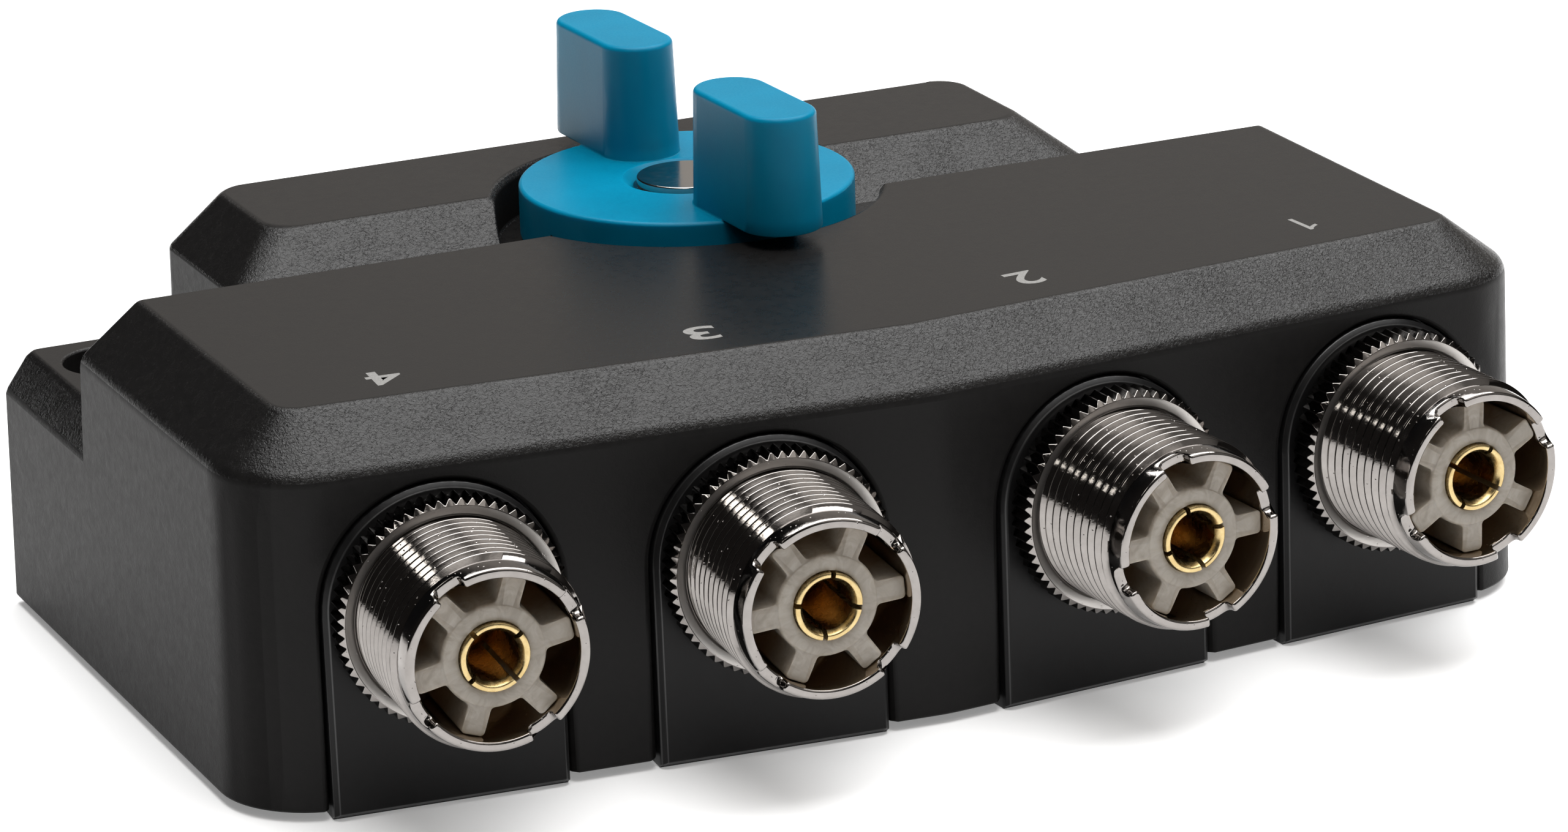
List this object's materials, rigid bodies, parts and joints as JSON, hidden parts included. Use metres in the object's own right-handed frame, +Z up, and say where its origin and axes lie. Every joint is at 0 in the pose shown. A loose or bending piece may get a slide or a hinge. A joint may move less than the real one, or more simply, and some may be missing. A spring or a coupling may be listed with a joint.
{
  "type": "antenna switch",
  "caption": "Coaxial antenna switch in a moulded black case with threaded sockets on a shallow V front, a common socket at the back and a blue two-grip rotary knob in a round recess",
  "frame": {"origin": "middle of the footprint, on the surface the case stands on", "axes": "+X to the right as seen from the antenna sockets, +Y from the antenna sockets towards the common socket, +Z up"},
  "size_m": [0.1156, 0.0994, 0.0434],
  "materials": {
    "case_black": "grained moulded plastic",
    "tray_black": "smooth moulded plastic",
    "knob_blue": "satin moulded plastic",
    "nickel": "nickel plated, turned",
    "insulator": "milky moulded plastic",
    "gold": "gold plated",
    "hub_plate": "bright plated",
    "steel": "zinc plated",
    "copper": "bare copper",
    "silver_plate": "silver plated",
    "wafer": "laminated phenolic board",
    "rotor_white": "moulded plastic"
  },
  "bodies": {
    "housing": {"antenna_shell_1": "nickel", "antenna_ring_nut_1": "nickel", "antenna_insulator_1": "insulator", "antenna_contact_1": "gold", "fixed_contact_1": "silver_plate", "feed_strip_1": "copper", "antenna_shell_2": "nickel", "antenna_ring_nut_2": "nickel", "antenna_insulator_2": "insulator", "antenna_contact_2": "gold", "fixed_contact_2": "silver_plate", "feed_strip_2": "copper", "antenna_shell_3": "nickel", "antenna_ring_nut_3": "nickel", "antenna_insulator_3": "insulator", "antenna_contact_3": "gold", "fixed_contact_3": "silver_plate", "feed_strip_3": "copper", "antenna_shell_4": "nickel", "antenna_ring_nut_4": "nickel", "antenna_insulator_4": "insulator", "antenna_contact_4": "gold", "fixed_contact_4": "silver_plate", "feed_strip_4": "copper", "top_cover": "case_black", "top_cover_rear": "case_black", "top_cover_ears": "case_black", "base_tray": "tray_black", "socket_panels": "tray_black", "case_screws": "steel", "common_shell": "nickel", "common_ring_nut": "nickel", "common_insulator": "insulator", "common_contact": "gold", "earth_strap_left": "copper", "earth_strap_right": "copper", "earth_strap_rear": "copper", "earth_plate": "copper", "switch_frame": "steel", "bush_washer": "steel", "bush_nut": "steel", "stator_wafer": "wafer", "wafer_spacers": "steel", "wafer_screws": "steel", "common_wiper": "silver_plate"},
    "selector": {"knob": "knob_blue", "knob_hub": "hub_plate", "hub_screw": "steel", "hub_cap": "hub_plate", "shaft": "steel", "retaining_ring": "steel", "index_arm": "steel", "detent_balls": "steel", "detent_springs": "steel", "rotor_disc": "rotor_white", "rotor_blade": "silver_plate"}
  },
  "joints": [
    {"name": "knob_turn", "type": "hinge", "parent": "housing", "child": "selector", "pos_m": [0, 0.01413, 0.0333], "axis": [0, 0, 1], "range_deg": [-47.7, 42.3]}
  ]
}
